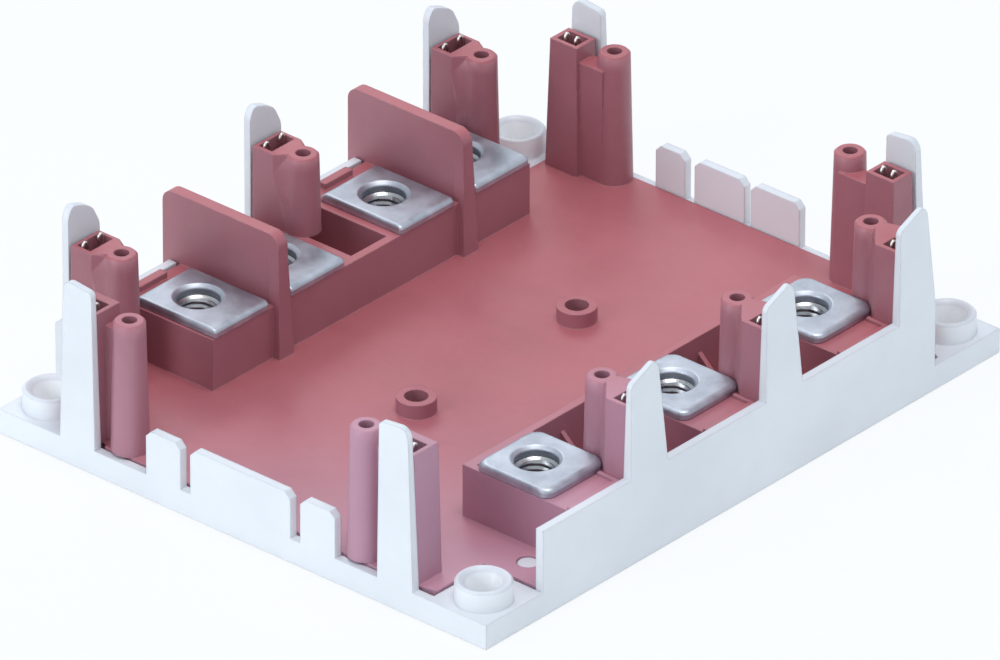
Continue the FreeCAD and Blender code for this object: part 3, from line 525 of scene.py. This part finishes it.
def plan(x0, x1, y0, y1, radius):
    """Rounded rectangle as points: seven for each corner and eleven more along each side."""
    corners = []
    for (cx, cy), start in (((x1 - radius, y1 - radius), 0), ((x0 + radius, y1 - radius), 1),
                            ((x0 + radius, y0 + radius), 2), ((x1 - radius, y0 + radius), 3)):
        corners.append([(cx + radius * math.cos((start + k / 6) * math.pi / 2),
                         cy + radius * math.sin((start + k / 6) * math.pi / 2)) for k in range(7)])
    points = []
    for corner, after in zip(corners, corners[1:] + corners[:1]):
        (ax, ay), (bx, by) = corner[-1], after[0]
        points += corner + [(ax + (bx - ax) * k / 12, ay + (by - ay) * k / 12) for k in range(1, 12)]
    return points


TAB_LOW, TAB_TOP, TAB_HOLE, TAB_ROLL = 13.0, 14.5, 3.3, 1.5
OUTPUT_X = {"u": -30.0, "v": 0.0, "w": 30.0}
SUPPLY_MIDDLE, SUPPLY_PITCH, SUPPLY_SHIFT = 1.8, 20.5, 8.35

# Half width, front and back ends, the hole's Y and the corners' radius
OUTPUT_TAB, SUPPLY_TAB = (6.5, -40.8, -26.5, -33.0, 1.8), (6.0, 26.5, 42.6, 35.2, 0.5)


def draw_tab(build, x, half, front, back, hole_y, corner):
    """Screw tab: broken top edges, a rolled back end and a hole with a wide bevel."""
    rows = []
    for z, edge, tip in ((TAB_LOW, 0.12, 0.12), (TAB_LOW + 0.15, 0.0, 0.0), (TAB_TOP - 0.60, 0.0, 0.0),
                         (TAB_TOP - 0.28, 0.08, 0.20), (TAB_TOP - 0.08, 0.20, 0.50), (TAB_TOP, 0.42, 0.85)):
        roll = TAB_ROLL - math.sqrt(max(0.0, TAB_ROLL ** 2 - (z - TAB_LOW) ** 2))
        ring = plan(x - half + edge, x + half - edge, front + tip, back - roll, max(corner - edge, 0.12))
        rows.append([build.verts.new((px, py, z)) for px, py in ring])
    angles = [math.atan2(vert.co.y - hole_y, vert.co.x - x) for vert in rows[-1]]
    for z, radius in ((TAB_TOP, TAB_HOLE + 0.65), (TAB_TOP - 0.08, TAB_HOLE + 0.48),
                      (TAB_TOP - 0.45, TAB_HOLE + 0.08), (TAB_TOP - 0.60, TAB_HOLE), (TAB_LOW, TAB_HOLE)):
        rows.append([build.verts.new((x + radius * math.cos(a), hole_y + radius * math.sin(a), z)) for a in angles])
    for first, second in zip(rows, rows[1:] + rows[:1]):
        bridge(build, first, second)


def tab_places(node):
    """Middles of the tab holes that one busbar has."""
    if node.startswith("output"):
        return [OUTPUT_X[node[-1]]]
    shift = -SUPPLY_SHIFT if node.endswith("minus") else SUPPLY_SHIFT
    return [SUPPLY_MIDDLE - SUPPLY_PITCH + shift, SUPPLY_MIDDLE + SUPPLY_PITCH + shift]


for node in ("output_bar_u", "output_bar_v", "output_bar_w", "supply_bar_minus", "supply_bar_plus"):
    bar = copied(node)
    cut = bmesh.ops.bisect_plane(bar, geom=bar.verts[:] + bar.edges[:] + bar.faces[:], dist=0.001,
                                 plane_co=(0, 0, TAB_LOW - 0.02), plane_no=(0, 0, 1), clear_outer=True)
    bmesh.ops.holes_fill(bar, edges=[item for item in cut["geom_cut"] if isinstance(item, bmesh.types.BMEdge)])
    for x in tab_places(node):
        draw_tab(bar, x, *(OUTPUT_TAB if node.startswith("output") else SUPPLY_TAB))
    bmesh.ops.recalc_face_normals(bar, faces=bar.faces)
    put_in_place(bar, node.replace("bar", "terminal"), node, TIN)


NUT_HALF, NUT_CORE = 5.0, 2.5
nut_boxes = islands(frame["nodes"]["terminal_nuts"].data)
NUTS = [((low.x + high.x) / 2, (low.y + high.y) / 2) for low, high in nut_boxes]
NUT_LOW, NUT_HIGH = nut_boxes[0][0].z, nut_boxes[0][1].z
new_piece("threaded_nuts", "terminal_nuts", ZINC, draw_nuts, smooth=False)

for name in sorted(frame["nodes"]):
    if not name.startswith("contact_springs_"):
        continue
    middles, leads = [], []
    foot = 1.25
    for low, high in islands(frame["nodes"][name].data):
        if high.x - low.x > 1.5:
            foot = low.z + 0.5
            leads.append(((low.x, low.y, low.z), (high.x, high.y, foot)))
            outboard = low.x + 0.6 if name.endswith("left") else high.x - 0.6
            middles.append((outboard, (low.y + high.y) / 2))
        else:
            middles.append(((low.x + high.x) / 2, (low.y + high.y) / 2))
    middles.sort(key=lambda place: place[1])
    tower = TOWERS.get(name.replace("contact_springs_", ""))
    if tower:
        middles = list(tower.channels)
    new_piece(name.replace("contact_springs", "coil_springs"), name, SILVER, spring_drawer(middles, foot, leads))


GUSSET_X, PIN_X, PIN_Y = (-16.0, 14.6), -40.1, -40.2


def ridge(build, x0, x1, y0, y1, low, high):
    """Long low bar with softened top edges."""
    soft = 0.18
    rows = [[build.verts.new((px, py, z)) for px, py in plan(x0 + inset, x1 - inset, y0 + inset, y1 - inset, 0.1)]
            for z, inset in ((low, 0.0), (high - soft, 0.0), (high - 0.3 * soft, 0.3 * soft), (high, soft))]
    for first, second in zip(rows, rows[1:]):
        bridge(build, first, second)
    build.faces.new(rows[-1])
    build.faces.new(list(reversed(rows[0])))


def draw_seat_trim(build):
    """Raised lips round the output seats and a small gusset in each gap between them."""
    for x in OUTPUT_X.values():
        ridge(build, x - 6.4, x + 4.4, -45.5, -44.3, SEAT_TOP - 0.2, SEAT_TOP + 0.55)
        ridge(build, x + 3.9, x + 4.6, -45.3, -41.1, SEAT_TOP - 0.2, SEAT_TOP + 0.6)
    for x in GUSSET_X:
        corners = ((-25.7, DECK_TOP - 0.2), (-25.7, 10.3), (-28.2, 8.0), (-28.2, DECK_TOP - 0.2))
        sides = [[build.verts.new((gx, y, z)) for y, z in corners] for gx in (x - 0.4, x + 0.4)]
        bridge(build, sides[0], sides[1])
        build.faces.new(sides[0])
        build.faces.new(list(reversed(sides[1])))


def draw_pin(build):
    """Round pin of the frame that shows in the deck's small hole."""
    rows = [[build.verts.new((PIN_X + r * math.cos(a), PIN_Y + r * math.sin(a), z))
             for a in (math.tau * k / 40 for k in range(40))]
            for r, z in ((1.62, 2.9), (1.62, 4.05), (1.5, 4.2), (0.6, 4.25))]
    for first, second in zip(rows, rows[1:]):
        bridge(build, first, second)
    build.faces.new(rows[-1])
    build.faces.new(list(reversed(rows[0])))


loose_piece("seat_trim", RED, draw_seat_trim)
loose_piece("locating_pin", WHITE, draw_pin)


# Stage

def floor_look():
    """Near-white floor that keeps a soft shadow and fades to white for the camera."""
    t = Tree("pale_floor")
    cloud = t.ramp(t.noise(60.0, 3.0), 0.3, 0.7)
    colour = t.mix(cloud, linear(244, 246, 248), linear(250, 251, 253))
    t.finish(colour, 0.8, t.bump(t.noise(1.5, 2.0), 0.02), specular=0.1)
    path = t.node("ShaderNodeLightPath")
    seen = t.math("MAXIMUM", path.outputs["Is Camera Ray"], path.outputs["Is Glossy Ray"])
    glow = t.node("ShaderNodeEmission", {"Color": linear(251, 253, 255), "Strength": 1.0})
    mixed = t.node("ShaderNodeMixShader")
    t.feed(mixed.inputs[0], t.math("MULTIPLY", seen, 0.86))
    t.tree.links.new(t.shader.outputs[0], mixed.inputs[1])
    t.tree.links.new(glow.outputs[0], mixed.inputs[2])
    output = [n for n in t.tree.nodes if n.type == "OUTPUT_MATERIAL"][0]
    t.tree.links.new(mixed.outputs[0], output.inputs["Surface"])
    return t.material


def make_floor():
    mesh = bpy.data.meshes.new("floor")
    build = bmesh.new()
    bmesh.ops.create_grid(build, x_segments=8, y_segments=8, size=6.0)
    build.to_mesh(mesh)
    build.free()
    floor = bpy.data.objects.new("floor", mesh)
    floor.location.z = -0.0002
    bpy.context.collection.objects.link(floor)
    mesh.materials.append(floor_look())


def make_world():
    world = bpy.data.worlds.new("studio")
    bpy.context.scene.world = world
    world.use_nodes = True
    nodes, links = world.node_tree.nodes, world.node_tree.links
    light = nodes["Background"]
    light.inputs["Color"].default_value = (0.74, 0.88, 1.0, 1.0)
    light.inputs["Strength"].default_value = 0.60
    gleam = nodes.new("ShaderNodeBackground")
    gleam.inputs["Color"].default_value = (0.90, 0.95, 1.0, 1.0)
    gleam.inputs["Strength"].default_value = 0.80
    white = nodes.new("ShaderNodeBackground")
    white.inputs["Color"].default_value = (0.975, 0.985, 1.0, 1.0)
    path = nodes.new("ShaderNodeLightPath")
    last = light
    for kind, shown in (("Is Glossy Ray", gleam), ("Is Camera Ray", white)):
        mixed = nodes.new("ShaderNodeMixShader")
        links.new(path.outputs[kind], mixed.inputs[0])
        links.new(last.outputs[0], mixed.inputs[1])
        links.new(shown.outputs[0], mixed.inputs[2])
        last = mixed
    links.new(last.outputs[0], nodes["World Output"].inputs["Surface"])


def toward(azimuth, elevation):
    """Direction from the object, given as azimuth and elevation in degrees."""
    a, e = math.radians(azimuth), math.radians(elevation)
    return Vector((math.sin(a) * math.cos(e), -math.cos(a) * math.cos(e), math.sin(e)))


def lamp(name, azimuth, elevation, distance, size, power, colour=(1, 1, 1)):
    """Area lamp that looks at the object from a direction."""
    data = bpy.data.lights.new(name, "AREA")
    data.shape = "DISK"
    data.size = size
    data.energy = power
    data.color = colour
    back = toward(azimuth, elevation)
    thing = bpy.data.objects.new(name, data)
    thing.location = back * distance
    thing.rotation_mode = "QUATERNION"
    thing.rotation_quaternion = (-back).to_track_quat("-Z", "Y")
    bpy.context.collection.objects.link(thing)


def make_camera():
    """Long lens at the photograph's angle: azimuth, elevation and roll solved from the part's own corners."""
    azimuth, elevation, roll = -48.914, 29.680, math.radians(0.128)
    back = toward(azimuth, elevation)
    target, distance = Vector((0.52, 0.67, 10.0)) * MM, 2.93186
    data = bpy.data.cameras.new("camera")
    data.sensor_width = 36.0
    data.lens = 721.36
    data.clip_start, data.clip_end = 0.1, 50.0
    camera = bpy.data.objects.new("camera", data)
    camera.rotation_mode = "QUATERNION"
    turn = (-back).to_track_quat("-Z", "Y").to_matrix() @ Matrix.Rotation(roll, 3, "Z")
    camera.rotation_quaternion = turn.to_quaternion()
    camera.location = target + back * distance
    bpy.context.collection.objects.link(camera)
    bpy.context.scene.camera = camera


make_floor()
make_world()
lamp("key", -15.0, 80.0, 1.4, 0.7, 8.6, (1.0, 0.96, 0.92))
lamp("fill", -104.0, 26.0, 1.6, 0.9, 7.5, (0.90, 0.95, 1.0))
lamp("rim", 150.0, 40.0, 1.6, 0.8, 4.0)
make_camera()
bpy.context.scene.view_settings.view_transform = "Standard"
